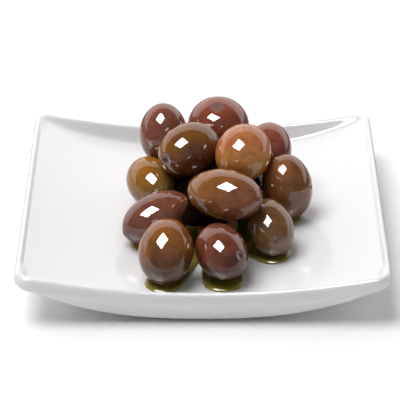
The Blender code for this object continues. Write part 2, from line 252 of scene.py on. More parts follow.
# Room: how steep the backdrop's top is, how softly its side and its top end, where the
# camera's side starts and is full, and how bright the floor is in reflections, a painted dim reflection
BACKDROP_SLOPE = 1.7
BACKDROP_SIDE_BLUR = 0.03
BACKDROP_TOP_BLUR = 0.02
FRONT_RANGE = (0.1, 0.8)
FLOOR_PAINTED_REFLECTION = 0.2
FLOOR_HALF_SIDE = 4.0
FLOOR_DROP = 0.1 * MM


def mm(value):
    return value * MM


def from_display(colour, gain=1.0):
    """Linear light of a displayed 0 to 255 colour."""
    linear = []
    for value in colour:
        share = value / 255
        light = share / 12.92 if share <= 0.04045 else ((share + 0.055) / 1.055) ** 2.4
        linear.append(light * gain)
    return tuple(linear)


def smooth_step(low, high, value):
    share = np.clip((value - low) / (high - low), 0.0, 1.0)
    return share * share * (3 - 2 * share)


class DishSettings(bpy.types.PropertyGroup):
    """The porcelain."""

    glaze_colour: FloatVectorProperty(
        name="Glaze colour",
        description="Colour of the glazed porcelain",
        subtype="COLOR",
        size=3,
        min=0.0,
        max=1.0,
        default=(0.84, 0.843, 0.846),
    )
    glaze_roughness: FloatProperty(
        name="Glaze roughness",
        description="How soft the glaze's reflections are",
        subtype="FACTOR",
        min=0.0,
        max=1.0,
        default=0.10,
    )


class OliveSettings(bpy.types.PropertyGroup):
    """The olives' shape and skin."""

    around: IntProperty(
        name="Sides",
        description="Points round each olive",
        min=12,
        max=96,
        default=60,
    )
    rows: IntProperty(
        name="Rows",
        description="Rows of points from stem to tip",
        min=8,
        max=64,
        default=46,
    )
    unevenness: FloatProperty(
        name="Unevenness",
        description="How far the skin rises and falls from a plain egg shape",
        subtype="DISTANCE",
        unit="LENGTH",
        min=0.0,
        max=0.001,
        precision=5,
        default=0.00012,
    )
    tone_gain: FloatProperty(
        name="Skin brightness",
        description="Brightness of the skin's tones",
        min=0.1,
        max=4.0,
        default=1.5,
    )


class OilSettings(bpy.types.PropertyGroup):
    """The oil pool."""

    depth: FloatProperty(
        name="Depth",
        description="Depth of the pool over the dish's floor",
        subtype="DISTANCE",
        unit="LENGTH",
        min=0.0002,
        max=0.003,
        precision=5,
        default=0.0012,
    )
    deep_colour: FloatVectorProperty(
        name="Deep colour",
        description="Colour where the oil is deep",
        subtype="COLOR",
        size=3,
        min=0.0,
        max=1.0,
        default=from_display((120, 110, 46)),
    )
    edge_colour: FloatVectorProperty(
        name="Edge colour",
        description="Colour at the pool's thin edge",
        subtype="COLOR",
        size=3,
        min=0.0,
        max=1.0,
        default=from_display((142, 128, 52)),
    )


class StageSettings(bpy.types.PropertyGroup):
    """Floor and light."""

    floor_colour: FloatVectorProperty(
        name="Floor colour",
        description="Colour of the studio floor",
        subtype="COLOR",
        size=3,
        min=0.0,
        max=1.0,
        default=(0.97, 0.97, 0.97),
    )
    key_power: FloatProperty(
        name="Key power",
        description="Power of the softbox as it falls on matt surfaces",
        unit="POWER",
        min=0.0,
        default=20.0,
    )
    key_shine: FloatProperty(
        name="Key shine",
        description="Power of the softbox as it shows in reflections",
        unit="POWER",
        min=0.0,
        default=21.0,
    )
    key_size: FloatProperty(
        name="Key size",
        description="Side of the square softbox that lights the dish",
        subtype="DISTANCE",
        unit="LENGTH",
        min=0.05,
        default=1.0,
    )
    shine_size: FloatProperty(
        name="Shine size",
        description="Side of the square softbox as it shows in reflections",
        subtype="DISTANCE",
        unit="LENGTH",
        min=0.05,
        default=0.48,
    )
    backdrop_strength: FloatProperty(
        name="Backdrop strength",
        description="Brightness of the white backdrop behind the dish",
        min=0.0,
        default=1.2,
    )
    room_strength: FloatProperty(
        name="Room strength",
        description="Brightness of the rest of the room",
        min=0.0,
        default=0.10,
    )
    front_strength: FloatProperty(
        name="Front strength",
        description="Further brightness of the room on the camera's side",
        min=0.0,
        default=0.14,
    )


def sweep(x):
    """0 along the middle of the dish, 1 at its raised left and right edges."""
    return min(abs(x) / HALF_SIDE, 1.0)


def floor_height(x):
    return FLOOR_MIDDLE + FLOOR_RISE * sweep(x) ** SWEEP_POWER


def under_height(x):
    return UNDER_MIDDLE + UNDER_RISE * sweep(x) ** SWEEP_POWER


def crest_height(x):
    return CREST_MIDDLE + CREST_RISE * sweep(x) ** 2


def rounded_rectangle(half_x, half_y, radius):
    """Corner arcs and evenly split sides, counter-clockwise; every outline has as many points."""
    arcs = []
    for sign_x, sign_y, start in ((1, -1, -90), (1, 1, 0), (-1, 1, 90), (-1, -1, 180)):
        middle = Vector((sign_x * (half_x - radius), sign_y * (half_y - radius)))
        arc = []
        for step in range(CORNER_STEPS + 1):
            turn = math.radians(start + 90 * step / CORNER_STEPS)
            arc.append(middle + radius * Vector((math.cos(turn), math.sin(turn))))
        arcs.append(arc)
    points = []
    for index, arc in enumerate(arcs):
        following = arcs[(index + 1) % len(arcs)][0]
        points.extend(arc)
        for step in range(1, SIDE_STEPS):
            points.append(arc[-1].lerp(following, step / SIDE_STEPS))
    return points


def inset_outline(inset):
    half = HALF_SIDE - inset
    return rounded_rectangle(half, half, max(CORNER_RADIUS - inset, LEAST_RADIUS))


def between(first, second, share):
    return [a.lerp(b, share) for a, b in zip(first, second)]


def smooth_section():
    """EDGE_SECTION's points on a smooth curve through them."""
    knots = [Vector(knot) for knot in EDGE_SECTION]
    curve = []
    for index in range(len(knots) - 1):
        before = knots[max(index - 1, 0)]
        start = knots[index]
        end = knots[index + 1]
        after = knots[min(index + 2, len(knots) - 1)]
        for step in range(PROFILE_STEPS):
            t = step / PROFILE_STEPS
            pull = (end - before) * t + (2 * before - 5 * start + 4 * end - after) * t * t
            pull += (3 * start - before - 3 * end + after) * t**3
            curve.append(start + pull / 2)
    curve.append(knots[-1])
    return curve


def dish_rings():
    """Every ring of the dish, from the middle of its underside to the middle of its floor."""

    def under(point):
        return under_height(point.x)

    def flat(height):
        return lambda point: height

    def foot_outline(inset):
        return rounded_rectangle(FOOT_X - inset, FOOT_Y - inset, CORNER_RADIUS - inset)

    rings = []
    inner_foot = foot_outline(FOOT_WIDTH)
    middle = rounded_rectangle(*UNDER_CENTRE)
    for share in np.linspace(0, 1, UNDER_STEPS + 1):
        rings.append((between(middle, inner_foot, share), under))
    rings.append((inner_foot, flat(FOOT_CHAMFER)))
    rings.append((foot_outline(FOOT_WIDTH - FOOT_CHAMFER), flat(0.0)))
    rings.append((foot_outline(FOOT_CHAMFER), flat(0.0)))
    rings.append((foot_outline(0.0), flat(FOOT_CHAMFER)))
    rings.append((foot_outline(0.0), under))
    edge = inset_outline(mm(EDGE_SECTION[0][0]))
    for share in np.linspace(0, 1, UNDER_STEPS + 1)[1:-1]:
        rings.append((between(foot_outline(0.0), edge, share), under))
    for inset, crest, below, drop in smooth_section():
        inset = mm(max(inset, 0.0))
        rings.append((inset_outline(inset), edge_height(inset, crest, below, mm(drop))))
    for inset in FLOOR_INSETS:
        rings.append((inset_outline(mm(inset)), lambda point: floor_height(point.x)))
    return rings


def edge_height(inset, crest, below, drop):
    """Height of one ring of the edge, as a function of its points."""
    lip = 1 - smooth_step(LIP_STARTS, LIP_ENDS, inset)

    def height(point):
        wall = smooth_step(WALL_STARTS, WALL_FULL, abs(point.y))
        raised = crest if below > 0 else crest * (wall + (1 - wall) * lip)
        inside = 1 - raised - below
        middle = raised * crest_height(point.x) + below * under_height(point.x)
        return float(middle + inside * floor_height(point.x) - drop)

    return height


def bridge_rings(bm, rings):
    for lower, upper in zip(rings, rings[1:]):
        count = len(lower)
        for index in range(count):
            after = (index + 1) % count
            bm.faces.new((lower[index], lower[after], upper[after], upper[index]))


def close_ring(bm, ring, middle):
    tip = bm.verts.new(middle)
    for index, corner in enumerate(ring):
        bm.faces.new((corner, ring[(index + 1) % len(ring)], tip))


def finish_piece(bm, name, material, node):
    """Turns a bmesh into a shaded piece that rides on the root and replaces a solid."""
    bmesh.ops.recalc_face_normals(bm, faces=bm.faces)
    mesh = bpy.data.meshes.new(name)
    bm.to_mesh(mesh)
    bm.free()
    return place_piece(mesh, name, material, node)


def place_piece(mesh, name, material, node):
    mesh.materials.append(material)
    mesh.shade_smooth()
    piece = bpy.data.objects.new(name, mesh)
    bpy.context.scene.collection.objects.link(piece)
    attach(piece, "root")
    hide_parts(node)
    return piece


def build_dish(material):
    bm = bmesh.new()
    rings = []
    for outline, height in dish_rings():
        rings.append([bm.verts.new((point.x, point.y, height(point))) for point in outline])
    bridge_rings(bm, rings)
    close_ring(bm, rings[0], (0, 0, UNDER_MIDDLE))
    close_ring(bm, rings[-1], (0, 0, FLOOR_MIDDLE))
    return finish_piece(bm, "porcelain_dish", material, "dish")


def seen_direction(turn, towards):
    """A direction as it looks from the camera: degrees from +X, degrees towards the viewer."""
    turn = math.radians(turn)
    towards = math.radians(towards)
    flat = math.cos(turn) * RIGHT + math.sin(turn) * UP
    return math.cos(towards) * flat - math.sin(towards) * SIGHT


def olive_basis(axis):
    """Columns: the long axis, a level direction across it, and the third one."""
    axis = np.array(axis, float) / np.linalg.norm(axis)
    across = np.cross(axis, (0.0, 0.0, 1.0))
    across /= np.linalg.norm(across)
    return np.stack([axis, across, np.cross(across, axis)], axis=1)


class Olive:
    """Where an olive lies, how large it is and which way it points."""

    def __init__(self, name, middle, axis, halves, shown):
        self.name = name
        self.middle = np.array(middle) * MM
        self.basis = olive_basis(axis)
        self.halves = np.array(halves) * MM
        self.shown = shown
        self.spread = self.basis @ np.diag(self.halves**2) @ self.basis.T

    def foot(self):
        """The lowest point."""
        down = np.array((0.0, 0.0, -1.0))
        return self.middle + self.spread @ down / math.sqrt(down @ self.spread @ down)

    def spot(self, right, up):
        """The unit direction, in the olive's own axes, of a point of its front as seen."""
        inverse = np.linalg.inv(self.spread)
        across = right * RIGHT + up * UP
        a = SIGHT @ inverse @ SIGHT
        b = across @ inverse @ SIGHT
        c = across @ inverse @ across - 1
        depth = (b + math.sqrt(max(b * b - a * c, 0.0))) / a
        local = self.basis.T @ (across - depth * SIGHT) / self.halves
        return local / np.linalg.norm(local)


def read_olives():
    olives = []
    for name, (middle, (turn, towards), halves) in SHOWN.items():
        olives.append(Olive(name, middle, seen_direction(turn, towards), halves, True))
    for name, (middle, axis, halves) in HIDDEN.items():
        olives.append(Olive(name, middle, axis, halves, False))
    settle(olives)
    return olives


def probe_directions():
    """Directions spread evenly over a sphere."""
    index = np.arange(PROBE_COUNT) + 0.5
    height = 1 - 2 * index / PROBE_COUNT
    turn = math.pi * (1 + math.sqrt(5)) * index
    radius = np.sqrt(1 - height * height)
    return np.stack([radius * np.cos(turn), radius * np.sin(turn), height], axis=1)


def floor_under(points):
    return FLOOR_MIDDLE + FLOOR_RISE * np.abs(points[:, 0] / HALF_SIDE) ** SWEEP_POWER


def settle(olives):
    """Lets the olives sink a little and moves them apart until none cuts into another or the floor.

    A pull holds each near its place at first. Both it and the sinking fade out, and then olives only
    make room. Those that show from the front move along the line of sight and keep their place there.
    """
    probes = probe_directions()
    reach = [np.sqrt(np.einsum("ni,ij,nj->n", probes, olive.spread, probes)) for olive in olives]
    skins = [probes @ olive.spread / far[:, None] for olive, far in zip(olives, reach)]
    middles = np.array([olive.middle for olive in olives])
    places = middles.copy()
    shown = np.array([olive.shown for olive in olives])
    for turn in range(SETTLE_ROUNDS):
        fade = max(0.0, 1 - turn / (SETTLE_EASE * SETTLE_ROUNDS))
        push = SETTLE_PULL * fade * (places - middles)
        push[:, 2] -= SETTLE_DROP * fade
        for first in range(len(olives)):
            for second in range(first + 1, len(olives)):
                apart = probes @ (middles[second] - middles[first]) - reach[first] - reach[second]
                best = apart.argmax()
                if apart[best] < TOUCH_GAP:
                    step = 0.5 * (TOUCH_GAP - apart[best]) * probes[best]
                    push[first] -= step
                    push[second] += step
            skin = middles[first] + skins[first]
            clearance = (skin[:, 2] - floor_under(skin)).min()
            push[first, 2] += max(0.0, FLOOR_GAP - clearance)
        along = SETTLE_STRIDE * (push @ SIGHT)[:, None] * SIGHT
        middles = middles + np.where(shown[:, None], along, push)
    for olive, middle in zip(olives, middles):
        olive.middle = middle


def stem_direction(olive):
    """Where the stem sat: the scar that shows, or else the end of the olive that points away."""
    if olive.name in STEMS:
        right, up, radius = STEMS[olive.name]
        return olive.spot(mm(right), mm(up)), mm(radius)
    away = np.sign(olive.basis[:, 0] @ SIGHT) or 1.0
    return np.array((away, 0.0, 0.0)), HIDDEN_STEM_RADIUS


def olive_grid(olive, settings):
    """Unit directions over the olive in rows from its stem, with the stem's own direction and the scar's
    radius.
    """
    stem, stem_radius = stem_direction(olive)
    helper = np.array((0.0, 1.0, 0.0)) if abs(stem[1]) < 0.8 else np.array((0.0, 0.0, 1.0))
    side = np.cross(stem, helper)
    side /= np.linalg.norm(side)
    third = np.cross(stem, side)
    rows = np.linspace(0, 1, settings.rows + 1)[1:-1] ** POLE_CROWDING * math.pi
    turns = np.linspace(0, 2 * math.pi, settings.around, endpoint=False)
    polar, turn = np.meshgrid(rows, turns, indexing="ij")
    directions = (
        np.cos(polar)[..., None] * stem
        + (np.sin(polar) * np.cos(turn))[..., None] * side
        + (np.sin(polar) * np.sin(turn))[..., None] * third
    ).reshape(-1, 3)
    directions = np.vstack([directions, stem, -stem])
    return directions, stem, stem_radius


def olive_points(olive, settings, number):
    """Points of one olive's skin, its tones, and the distance from the stem in scar radii."""
    directions, stem, stem_radius = olive_grid(olive, settings)
    local = directions * olive.halves
    from_stem = np.linalg.norm(local - stem * olive.halves, axis=1)
    from_tip = np.linalg.norm(local + stem * olive.halves, axis=1)
    ratio = from_stem / stem_radius
    from_rim = ratio - STEM_RIM_RATIO
    relief = -STEM_DEPTH * np.exp(-(ratio**2) / STEM_FALLOFF)
    relief += STEM_RIM_SHARE * STEM_DEPTH * np.exp(-(from_rim**2) / STEM_RIM_FALLOFF)
    relief *= SHALLOW_SCARS.get(olive.name, 1.0)
    if olive.name in FLAT_ENDS:
        depth, width = FLAT_ENDS[olive.name]
        relief -= mm(depth) * np.exp(-((from_stem / mm(width)) ** 2))
    if olive.name not in STEMS:
        relief += TIP_HEIGHT * np.exp(-((from_tip / TIP_WIDTH) ** 2))
    offset = Vector([part * number for part in NOISE_STRIDE])
    waves = np.empty(len(local))
    for index, point in enumerate(local):
        place = Vector(point)
        wave = noise.noise(place / WAVE_LENGTH + offset)
        waves[index] = wave + RIPPLE_SHARE * noise.noise(place / RIPPLE_LENGTH - offset)
    relief += settings.unevenness * waves
    outward = local / olive.halves**2
    outward /= np.linalg.norm(outward, axis=1)[:, None]
    points = olive.middle + (local + outward * relief[:, None]) @ olive.basis.T
    return points, olive_tones(olive, directions, offset, settings, number), ratio


def olive_tones(olive, directions, offset, settings, number):
    """The skin's colour at each point: two tones that run into each other unevenly, darkened towards the
    underside as painted shade.
    """
    if olive.name in SKIN_TONES_AND_SHADE:
        main, second, side = SKIN_TONES_AND_SHADE[olive.name]
    else:
        main = HIDDEN_TONES[number % len(HIDDEN_TONES)]
        second = HIDDEN_TONES[(number + 2) % len(HIDDEN_TONES)]
        side = (HIDDEN_TONE_TURN * number, 10)
    main = np.array(from_display(main, settings.tone_gain))
    second = np.array(from_display(second, settings.tone_gain))
    towards = olive.basis.T @ seen_direction(*side)
    drift = np.array([noise.noise(Vector(d) * TONE_DRIFT_SCALE + offset) for d in directions])
    share = smooth_step(*TONE_CHANGE, directions @ towards + TONE_DRIFT * drift)
    # Painted shade: the tones darken towards the olive's underside
    skyward = (directions / olive.halves) @ olive.basis.T[:, 2]
    skyward /= np.linalg.norm(directions / olive.halves, axis=1)
    shade = UNDERSIDE_PAINTED_SHADE + (1 - UNDERSIDE_PAINTED_SHADE) * smooth_step(*PAINTED_SHADE_CHANGE, skyward)
    return (main + share[:, None] * (second - main)) * shade[:, None]


def grid_faces(rows, around, start):
    """Quads between the rows of one olive, and triangles round its two ends."""
    faces = []
    stem = start + rows * around
    tip = stem + 1
    for column in range(around):
        after = (column + 1) % around
        faces.append((stem, start + column, start + after))
        last = start + (rows - 1) * around
        faces.append((last + after, last + column, tip))
        for row in range(rows - 1):
            low = start + row * around
            high = low + around
            faces.append((low + column, high + column, high + after, low + after))
    return faces


def build_olives(olives, settings, material):
    points = []
    tones = []
    ratios = []
    holes = []
    faces = []
    count = 0
    for number, olive in enumerate(olives):
        skin, tone, ratio = olive_points(olive, settings, number)
        faces += grid_faces(settings.rows - 1, settings.around, count)
        count += len(skin)
        points.append(skin)
        tones.append(tone)
        ratios.append(ratio)
        holes += [SHALLOW_SCARS.get(olive.name, 1.0)] * len(skin)
    mesh = bpy.data.meshes.new("olives")
    mesh.from_pydata(np.vstack(points).tolist(), [], faces)
    tones = np.vstack(tones)
    colour = mesh.attributes.new("skin_tone_and_shade", "FLOAT_COLOR", "POINT")
    colour.data.foreach_set("color", np.column_stack([tones, np.ones(len(tones))]).ravel())
    stem = mesh.attributes.new("from_stem", "FLOAT", "POINT")
    stem.data.foreach_set("value", np.concatenate(ratios))
    hole = mesh.attributes.new("stem_hole", "FLOAT", "POINT")
    hole.data.foreach_set("value", holes)
    mesh.validate()
    return place_piece(mesh, "olives", material, "olive_heap")


def build_core(olives, material):
    """The dark filling that closes the gaps between the olives, coloured as painted shade."""
    middles = np.array([olive.middle for olive in olives])
    centre = middles.mean(axis=0)
    bm = bmesh.new()
    for middle in middles:
        bm.verts.new(centre + CORE_SHARE * (middle - centre))
    hull = bmesh.ops.convex_hull(bm, input=bm.verts)
    spare = [part for part in hull["geom_interior"] if isinstance(part, bmesh.types.BMVert)]
    bmesh.ops.delete(bm, geom=spare, context="VERTS")
    bmesh.ops.subdivide_edges(bm, edges=bm.edges, cuts=CORE_CUTS, use_grid_fill=True)
    for _ in range(CORE_SMOOTHINGS):
        bmesh.ops.smooth_vert(
            bm, verts=bm.verts, factor=0.5, use_axis_x=True, use_axis_y=True, use_axis_z=True
        )
    for vertex in bm.verts:
        lump = noise.noise(vertex.co / CORE_LUMP_LENGTH)
        vertex.co += (vertex.co - Vector(centre)).normalized() * CORE_LUMP_HEIGHT * lump
    return finish_piece(bm, "heap_core", material, "olive_heap")


def oil_outline(feet):
    """The pool reaches a little past each olive that stands in it, so its edge is lobed."""
    reaches = []
    for step in range(OIL_STEPS):
        turn = 2 * math.pi * step / OIL_STEPS
        heading = Vector((math.cos(turn), math.sin(turn)))
        reach = OIL_LEAST_REACH
        for foot in feet:
            offset = Vector((foot[0], foot[1])) - OIL_MIDDLE
            along = offset.dot(heading)
            aside = abs(offset.cross(heading))
            lobe = OIL_LOBE * (1 - OIL_THINNING * sweep(foot[0]) ** 2)
            if aside < lobe:
                reach = max(reach, along + math.sqrt(lobe**2 - aside**2))
        reaches.append(reach)
    reaches = np.array(reaches)
    for _ in range(OIL_SMOOTHINGS):
        reaches = (np.roll(reaches, 1) + 2 * reaches + np.roll(reaches, -1)) / 4
    return reaches


def oil_climb(point, olives):
    """How far the oil is drawn up the olives next to a point."""
    nearest = 1.0
    for olive in olives:
        local = olive.basis.T @ (point - olive.middle) / olive.halves
        distance = (np.linalg.norm(local) - 1) * olive.halves[1]
        nearest = min(nearest, max(distance, 0.0))
    return OIL_CLIMB * math.exp(-nearest / OIL_CLIMB_WIDTH)


def build_oil(olives, settings, material):
    """A shallow pool with a rounded edge, drawn up a little round each olive."""
    in_oil = []
    for olive in olives:
        foot = olive.foot()
        if foot[2] - floor_height(foot[0]) < OIL_WETS:
            in_oil.append(olive)
    reaches = oil_outline([olive.foot() for olive in in_oil])
    bm = bmesh.new()
    edge_share = bm.verts.layers.float.new("pool_depth")

    def ring(share, depth, climbs):
        made = []
        for step, reach in enumerate(reaches):
            turn = 2 * math.pi * step / OIL_STEPS
            x = OIL_MIDDLE.x + math.cos(turn) * reach * share
            y = OIL_MIDDLE.y + math.sin(turn) * reach * share
            from_edge = reach * (1 - share)
            low = floor_height(x) + OIL_LIFT
            rounded = min(from_edge / (2 * settings.depth), 1.0)
            height = low + depth * math.sqrt(max(1 - (1 - rounded) ** 2, 0.0))
            if climbs:
                height += oil_climb(np.array((x, y, height)), in_oil) * rounded
            vertex = bm.verts.new((x, y, height))
            vertex[edge_share] = min(from_edge / OIL_EDGE_BAND, 1.0)
            made.append(vertex)
        return made

    shares = [1 - (1 - row / OIL_ROWS) ** OIL_ROW_CROWDING for row in range(1, OIL_ROWS)]
    under = [ring(share, 0.0, False) for share in shares[::OIL_UNDER_EVERY]]
    rim = [ring(1.0, 0.0, False)]
    over = [ring(share, settings.depth, True) for share in shares[::-1]]
    rings = under + rim + over
    bridge_rings(bm, rings)
    low = floor_height(OIL_MIDDLE.x)
    close_ring(bm, rings[0], (*OIL_MIDDLE, low + OIL_LIFT))
    close_ring(bm, rings[-1], (*OIL_MIDDLE, low + settings.depth))
    return finish_piece(bm, "oil_pool", material, "oil")


def new_group(name, inputs, outputs):
    """An empty node group with named sockets, ready to fill."""
    group = bpy.data.node_groups.new(name, "ShaderNodeTree")
    for label, kind, value in inputs:
        socket = group.interface.new_socket(label, in_out="INPUT", socket_type=kind)
        if value is not None:
            socket.default_value = value
    for label, kind in outputs:
        group.interface.new_socket(label, in_out="OUTPUT", socket_type=kind)
    entry = group.nodes.new("NodeGroupInput")
    result = group.nodes.new("NodeGroupOutput")
    return group, entry, result


def mottling_group():
    """A soft blotchy mask from 0 to 1."""
    found = bpy.data.node_groups.get("mottling")
    if found:
        return found
    group, entry, result = new_group(
        "mottling",
        (
            ("Position", "NodeSocketVector", None),
            ("Size", "NodeSocketFloat", 100.0),
            ("Low", "NodeSocketFloat", 0.35),
            ("High", "NodeSocketFloat", 0.65),
        ),
        (("Mask", "NodeSocketFloat"),),
    )
    blotches = group.nodes.new("ShaderNodeTexNoise")
    blotches.inputs["Detail"].default_value = 4.0
    blotches.inputs["Roughness"].default_value = 0.55
    spread = group.nodes.new("ShaderNodeMapRange")
    spread.interpolation_type = "SMOOTHSTEP"
    link = group.links.new
    link(entry.outputs["Position"], blotches.inputs["Vector"])
    link(entry.outputs["Size"], blotches.inputs["Scale"])
    link(blotches.outputs["Fac"], spread.inputs["Value"])
    link(entry.outputs["Low"], spread.inputs["From Min"])
    link(entry.outputs["High"], spread.inputs["From Max"])
    link(spread.outputs["Result"], result.inputs["Mask"])
    return group


def specks_group():
    """Small round specks, 1 at their middles, that only show in patches."""
    found = bpy.data.node_groups.get("specks")
    if found:
        return found
    group, entry, result = new_group(
        "specks",
        (
            ("Position", "NodeSocketVector", None),
            ("Size", "NodeSocketFloat", 400.0),
            ("Radius", "NodeSocketFloat", 0.2),
        ),
        (("Mask", "NodeSocketFloat"),),
    )
    cells = group.nodes.new("ShaderNodeTexVoronoi")
    near = group.nodes.new("ShaderNodeMapRange")
    near.interpolation_type = "SMOOTHSTEP"
    near.inputs["To Min"].default_value = 1.0
    near.inputs["To Max"].default_value = 0.0
    near.inputs["From Min"].default_value = 0.05
    patches = group.nodes.new("ShaderNodeTexNoise")
    patches.inputs["Scale"].default_value = 120.0
    patches.inputs["Detail"].default_value = 1.0
    chosen = group.nodes.new("ShaderNodeMapRange")
    chosen.inputs["From Min"].default_value = 0.52
    chosen.inputs["From Max"].default_value = 0.62
    both = group.nodes.new("ShaderNodeMath")
    both.operation = "MULTIPLY"
    link = group.links.new
    link(entry.outputs["Position"], cells.inputs["Vector"])
    link(entry.outputs["Position"], patches.inputs["Vector"])
    link(entry.outputs["Size"], cells.inputs["Scale"])
    link(cells.outputs["Distance"], near.inputs["Value"])
    link(entry.outputs["Radius"], near.inputs["From Max"])
    link(patches.outputs["Fac"], chosen.inputs["Value"])
    link(near.outputs["Result"], both.inputs[0])
    link(chosen.outputs["Result"], both.inputs[1])
    link(both.outputs["Value"], result.inputs["Mask"])
    return group


class Finish:
    """A material with its shader, and short ways to add what feeds it."""

    def __init__(self, name):
        self.material = bpy.data.materials.new(name)
        self.material.use_nodes = True
        self.nodes = self.material.node_tree.nodes
        self.link = self.material.node_tree.links.new
        self.shader = self.nodes["Principled BSDF"]
        self.position = self.nodes.new("ShaderNodeTexCoord").outputs["Object"]

    def set(self, **values):
        for label, value in values.items():
            self.shader.inputs[label.replace("_", " ")].default_value = value

    def mottling(self, size, low=0.35, high=0.65):
        node = self.nodes.new("ShaderNodeGroup")
        node.node_tree = mottling_group()
        node.inputs["Size"].default_value = size
        node.inputs["Low"].default_value = low
        node.inputs["High"].default_value = high
        self.link(self.position, node.inputs["Position"])
        return node.outputs["Mask"]

    def specks(self, size, radius):
        node = self.nodes.new("ShaderNodeGroup")
        node.node_tree = specks_group()
        node.inputs["Size"].default_value = size
        node.inputs["Radius"].default_value = radius
        self.link(self.position, node.inputs["Position"])
        return node.outputs["Mask"]

    def feed(self, value, socket):
        """Links a socket, or sets a plain colour or number."""
        if isinstance(value, bpy.types.NodeSocket):
            self.link(value, socket)
        elif isinstance(value, tuple):
            socket.default_value = (*value, 1.0)
        else:
            socket.default_value = value

    def mix(self, factor, first, second, blend="MIX"):
        node = self.nodes.new("ShaderNodeMix")
        node.data_type = "RGBA"
        node.blend_type = blend
        self.feed(factor, node.inputs["Factor"])
        self.feed(first, node.inputs[6])
        self.feed(second, node.inputs[7])
        return node.outputs[2]

    def math(self, operation, first, second):
        node = self.nodes.new("ShaderNodeMath")
        node.operation = operation
        self.feed(first, node.inputs[0])
        self.feed(second, node.inputs[1])
        return node.outputs["Value"]

    def spread(self, value, low, high, start=0.0, end=1.0):
        node = self.nodes.new("ShaderNodeMapRange")
        node.interpolation_type = "SMOOTHSTEP"
        self.link(value, node.inputs["Value"])
        node.inputs["From Min"].default_value = low
        node.inputs["From Max"].default_value = high
        node.inputs["To Min"].default_value = start
        node.inputs["To Max"].default_value = end
        return node.outputs["Result"]

    def attribute(self, name, output):
        node = self.nodes.new("ShaderNodeAttribute")
        node.attribute_name = name
        return node.outputs[output]

    def bump(self, height, distance, strength=1.0):
        node = self.nodes.new("ShaderNodeBump")
        node.inputs["Strength"].default_value = strength
        node.inputs["Distance"].default_value = distance
        self.link(height, node.inputs["Height"])
        self.link(node.outputs["Normal"], self.shader.inputs["Normal"])


def porcelain_finish(settings):
    """Bright glazed porcelain, very slightly uneven."""
    finish = Finish("porcelain")
    colour = tuple(settings.glaze_colour)
    deeper = tuple(0.985 * part for part in colour)
    finish.link(finish.mix(finish.mottling(28.0), colour, deeper), finish.shader.inputs["Base Color"])
    low = settings.glaze_roughness
    roughness = finish.spread(finish.mottling(90.0), 0.0, 1.0, 0.8 * low, 1.3 * low)
    finish.link(roughness, finish.shader.inputs["Roughness"])
    finish.bump(finish.mottling(60.0, 0.2, 0.8), 0.00006)
    finish.set(IOR=1.5, Specular_IOR_Level=0.35)
    return finish.material


def olive_finish():
    """Oily brown skin: blotches, small specks and a dark stem scar with a pale rim."""
    finish = Finish("olive_skin")
    # These tones carry painted shade on the undersides, and for some olives painted light and shade in
    # their second tone
    tone = finish.attribute("skin_tone_and_shade", "Color")
    blotches = finish.math("MULTIPLY", finish.mottling(150.0), 0.55)
    skin = finish.mix(blotches, tone, (0.66, 0.58, 0.55), "MULTIPLY")
    patches = finish.math("MULTIPLY", finish.mottling(420.0, 0.45, 0.6), 0.5)
    skin = finish.mix(patches, skin, (0.78, 0.7, 0.66), "MULTIPLY")
    grain = finish.math("MULTIPLY", finish.mottling(1100.0, 0.45, 0.65), 0.6)
    skin = finish.mix(grain, skin, (1.3, 1.26, 1.2), "MULTIPLY")
    specks = finish.math("MULTIPLY", finish.specks(330.0, 0.2), 0.75)
    skin = finish.mix(specks, skin, (0.3, 0.22, 0.18), "MULTIPLY")
    ratio = finish.attribute("from_stem", "Fac")
    wobble = finish.math("MULTIPLY", finish.mottling(700.0), 0.25)
    ratio = finish.math("ADD", ratio, wobble)
    rim = finish.math("MULTIPLY", finish.spread(ratio, 1.0, 1.5, 1.0, 0.0), 0.75)
    skin = finish.mix(rim, skin, from_display((132, 106, 100)))
    hole = finish.math("MULTIPLY", finish.spread(ratio, 0.55, 1.0, 1.0, 0.0), 0.9)
    hole = finish.math("MULTIPLY", hole, finish.attribute("stem_hole", "Fac"))
    skin = finish.mix(hole, skin, from_display((46, 36, 28)))
    finish.link(skin, finish.shader.inputs["Base Color"])
    roughness = finish.spread(finish.mottling(500.0), 0.0, 1.0, 0.28, 0.42)
    finish.link(roughness, finish.shader.inputs["Roughness"])
    finish.bump(finish.mottling(1400.0), 0.00002)
    finish.set(Coat_Weight=1.0, Coat_Roughness=0.012, Coat_IOR=1.7, Specular_IOR_Level=0.0)
    return finish.material


def core_finish():
    """Painted shade: the near-black inside of the heap, filling the gaps where the olives shade each
    other.
    """
    finish = Finish("heap_painted_shade")
    # Painted shade: near-black browns for the deep gaps
    dark = from_display((24, 13, 8))
    darker = from_display((12, 7, 5))
    finish.link(finish.mix(finish.mottling(220.0), dark, darker), finish.shader.inputs["Base Color"])
    roughness = finish.spread(finish.mottling(400.0), 0.0, 1.0, 0.35, 0.6)
    finish.link(roughness, finish.shader.inputs["Roughness"])
    finish.bump(finish.mottling(500.0), 0.0003)
    finish.set(Specular_IOR_Level=0.0)
    return finish.material


def oil_finish(settings):
    """Yellow-green oil, paler where it thins out at its edge."""
    finish = Finish("olive_oil")
    depth = finish.attribute("pool_depth", "Fac")
    wobble = finish.math("MULTIPLY", finish.mottling(220.0), 0.2)
    share = finish.spread(finish.math("ADD", depth, wobble), 0.1, 0.9)
    colour = finish.mix(share, tuple(settings.edge_colour), tuple(settings.deep_colour))
    finish.link(colour, finish.shader.inputs["Base Color"])
    roughness = finish.spread(finish.mottling(300.0), 0.0, 1.0, 0.02, 0.05)
    finish.link(roughness, finish.shader.inputs["Roughness"])
    finish.bump(finish.mottling(260.0, 0.2, 0.8), 0.00008)
    finish.set(IOR=1.47)
    return finish.material


